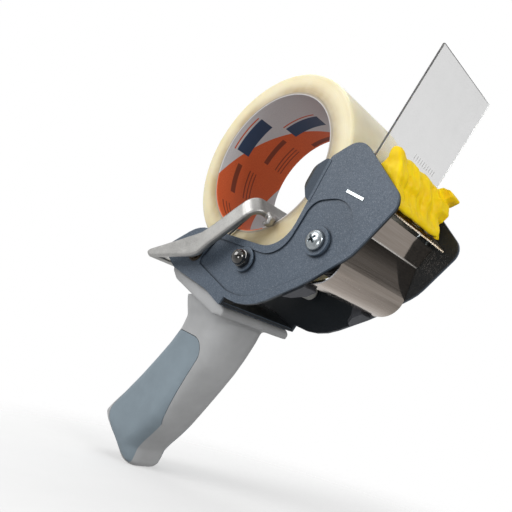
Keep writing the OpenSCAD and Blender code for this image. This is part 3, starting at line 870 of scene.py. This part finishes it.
def handle():
    """The moulded handle: a saddle under the frame that flows into a slanting grip with a rolled butt."""
    x_way, y_way = Vector((1, 0, 0)), Vector((0, 1, 0))
    bm = bmesh.new()
    saddle = [(-54.6, -58.2), (-52.8, -59.1), (-36.5, -64.7), (-17.4, -71.5), (-4.6, -78.6), (-3.4, -80.6),
              (-4.6, -83.4), (-12.0, -82.4), (-30.0, -74.4), (-49.5, -65.4), (-54.2, -60.6)]
    extrude(bm, saddle, -25.2, 25.2, 4)
    # sections from inside the saddle down to the butt: z, rear x, front x, half thickness, corner radius
    sections = [
        (-72.0, -47.0, -22.0, 20.0, 8), (-78.0, -47.0, -11.0, 18.5, 9), (-83.0, -47.5, -10.0, 16.6, 10),
        (-90.0, -52.5, -10.5, 15.0, 11), (-99.0, -60.0, -13.8, 14.4, 12), (-108.0, -67.6, -19.0, 14.3, 12),
        (-120.0, -78.0, -27.6, 14.4, 12), (-132.0, -89.4, -36.8, 14.6, 12), (-140.0, -98.0, -43.2, 14.8, 12),
        (-145.4, -103.0, -48.0, 14.8, 12), (-149.5, -99.4, -52.0, 14.8, 12), (-154.0, -92.6, -56.6, 14.6, 12),
        (-158.5, -86.0, -60.0, 14.0, 12), (-162.5, -80.4, -61.4, 12.8, 9.4),
        (-166.2, -76.0, -62.6, 11.0, 6.6), (-168.4, -71.6, -64.6, 7.4, 3.4),
    ]
    rings = []
    for z, rear, front, half, radius in sections:
        rings.append(box_ring(side((rear + front) / 2, z), x_way, y_way, (front - rear) / 2, half, radius, 8))
    loft(bm, rings[::-1])
    solid = melted(bm, "handle_solid", 0.8, 10)
    # the body has a pocket on each side, and an inlay fills each pocket but for a fine groove round it
    floor, beyond, groove, sharp = 9.0, 30.0, 0.35, 40
    near, far = (-beyond, -floor), (floor, beyond)
    pockets = bmesh.new()
    for first, last in (near, far):
        extrude(pockets, inlay_outline(groove), first, last)
    shell = trimmed(solid.copy(), pockets, "handle", "DIFFERENCE", sharp)
    piece("handle", shell, "grip_plastic", "root", ["grip_body"])
    for name, node, (first, last) in (("inlay_near", "grip_panel_near", near),
                                      ("inlay_far", "grip_panel_far", far)):
        block = bmesh.new()
        extrude(block, inlay_outline(), first, last)
        pad = trimmed(solid.copy(), block, name, "INTERSECT", sharp)
        piece(name, pad, "grip_rubber", "root", [node])


def inlay_outline(grow=0.0):
    """The rounded outline of an inlay from its corners, each (x, z, radius), moved outwards by grow."""
    corners = [(-48, -91, 7), (-93, -144.5, 7), (-82, -157, 6), (-65, -168, 5), (-54, -163, 5),
               (-49.5, -146, 9), (-22, -96, 8)]
    steps = 8
    points = []
    for i, (x, z, r) in enumerate(corners):
        here = Vector((x, z))
        a = unit(Vector(corners[i - 1][:2]) - here)
        b = unit(Vector(corners[(i + 1) % len(corners)][:2]) - here)
        half = a.angle(b) / 2
        centre = here + unit(a + b) * r / math.sin(half)
        first, last = here + a * r / math.tan(half) - centre, here + b * r / math.tan(half) - centre
        start = math.atan2(first.y, first.x)
        turn = math.atan2(first.x * last.y - first.y * last.x, first.dot(last))
        reach = r + grow if turn > 0 else r - grow      # a hollow corner shrinks as the outline grows
        for k in range(steps + 1):
            t = start + turn * k / steps
            points.append(centre + reach * Vector((math.cos(t), math.sin(t))))
    return points


tape_winding()
lever_casting()
buffer_sheet()
guard_moulding()
flap_marks()
axle_screws()
acorn_nuts()
ribbed_sleeve()
handle()


# ---------------------------------------------------------------- studio

def studio():
    """A pale floor under the part, and a world whose brightness depends on what kind of ray sees it."""
    lowest = cad_box[0][2]
    bpy.ops.mesh.primitive_circle_add(vertices=96, radius=0.45, fill_type="NGON", location=(0, 0, lowest))
    floor = bpy.context.object
    floor.name = "floor"
    floor.data.materials.append(floor_look())
    floor.visible_diffuse = False

    world = bpy.data.worlds.new("studio")
    bpy.context.scene.world = world
    world.use_nodes = True
    tree = world.node_tree
    back = tree.nodes["Background"]
    place = tree.nodes.new("ShaderNodeTexCoord").outputs["Generated"]
    split = tree.nodes.new("ShaderNodeSeparateXYZ")
    tree.links.new(place, split.inputs[0])
    along_x, _, along_z = split.outputs

    def ramp(axis, stops):
        """Brightness along one axis, from stops (place, brightness); the places run from -1 to 1."""
        half = tree.nodes.new("ShaderNodeMath")
        half.operation = "MULTIPLY_ADD"
        tree.links.new(axis, half.inputs[0])
        half.inputs[1].default_value = half.inputs[2].default_value = 0.5
        level = tree.nodes.new("ShaderNodeValToRGB")
        tree.links.new(half.outputs[0], level.inputs[0])
        while len(level.color_ramp.elements) < len(stops):
            level.color_ramp.elements.new(0.5)
        for stop, (where, value) in zip(level.color_ramp.elements, stops):
            stop.position = (where + 1) / 2
            stop.color = (value, value, value, 1)
        return level.outputs[0]

    def blend(factor, a, b):
        mix = tree.nodes.new("ShaderNodeMix")
        for value, socket in ((factor, mix.inputs[0]), (a, mix.inputs[2]), (b, mix.inputs[3])):
            if isinstance(value, float):
                socket.default_value = value
            else:
                tree.links.new(value, socket)
        return mix.outputs[0]

    # what polished metal mirrors: bands below the horizon and above it, and a pale room on the left
    below = ramp(along_x, ((-1.0, 0.72), (-0.5, 0.66), (-0.2, 0.42), (0.1, 0.28), (0.36, 0.28), (0.47, 0.42),
                           (0.6, 0.34), (1.0, 0.36)))
    above = ramp(along_z, ((0.0, 0.04), (0.028, 0.17), (0.045, 0.08), (0.07, 0.02), (0.15, 0.05), (0.3, 0.4),
                           (0.7, 0.8), (1.0, 0.8)))
    left = ramp(along_x, ((-1.0, 1.0), (-0.5, 1.0), (-0.2, 0.0), (1.0, 0.0)))
    horizon = ramp(along_z, ((-1.0, 0.0), (-0.002, 0.0), (0.002, 1.0), (1.0, 1.0)))
    room, ambient, backdrop = 0.7, 0.26, 1.0
    mirrored = blend(horizon, below, blend(left, above, room))
    ray = tree.nodes.new("ShaderNodeLightPath").outputs
    level = blend(ray["Is Diffuse Ray"], mirrored, ambient)
    level = blend(ray["Transmission Depth"], level, backdrop)
    level = blend(ray["Is Camera Ray"], level, backdrop)
    tree.links.new(level, back.inputs["Strength"])
    back.inputs["Color"].default_value = (1, 1, 1, 1)


def softbox(name, place, target, width, power):
    """A square area lamp of this width in metres and this power in watts, turned to the target."""
    data = bpy.data.lights.new(name, "AREA")
    data.shape = "RECTANGLE"
    data.size = data.size_y = width
    data.energy = power
    lamp = linked(name, data)
    lamp.location = place
    lamp.rotation_euler = (Vector(target) - Vector(place)).to_track_quat("-Z", "Y").to_euler()
    lamp.visible_camera = False


def camera(place_mm, forward, up, lens):
    """The photograph's view."""
    data = bpy.data.cameras.new("camera")
    data.lens = lens
    data.sensor_width = 36
    data.clip_start = 0.01
    seat = linked("camera", data)
    forward = Vector(forward).normalized()
    right = forward.cross(Vector(up)).normalized()
    turn = Matrix((right, right.cross(forward), -forward)).transposed().to_4x4()
    seat.matrix_world = Matrix.Translation(Vector(place_mm) * MM) @ turn
    bpy.context.scene.camera = seat


studio()
softbox("key", (-0.30, -0.88, 0.48), (0, 0, -0.04), 0.7, 7.5)
softbox("front", (1.0, -0.10, 0.25), (0.05, 0, 0), 0.4, 4.5)
softbox("core", (0.45, -0.80, -0.30), (0, 0, 0), 0.3, 1.8)
softbox("top", (-0.2, 0.1, 0.95), (0, 0, 0), 0.8, 3.2)
camera((186.9, -189.8, -111.0), (-0.7122, 0.6614, 0.2351), (0, -0.3349, 0.9423), 36.66)
bpy.context.scene.view_settings.view_transform = "Standard"
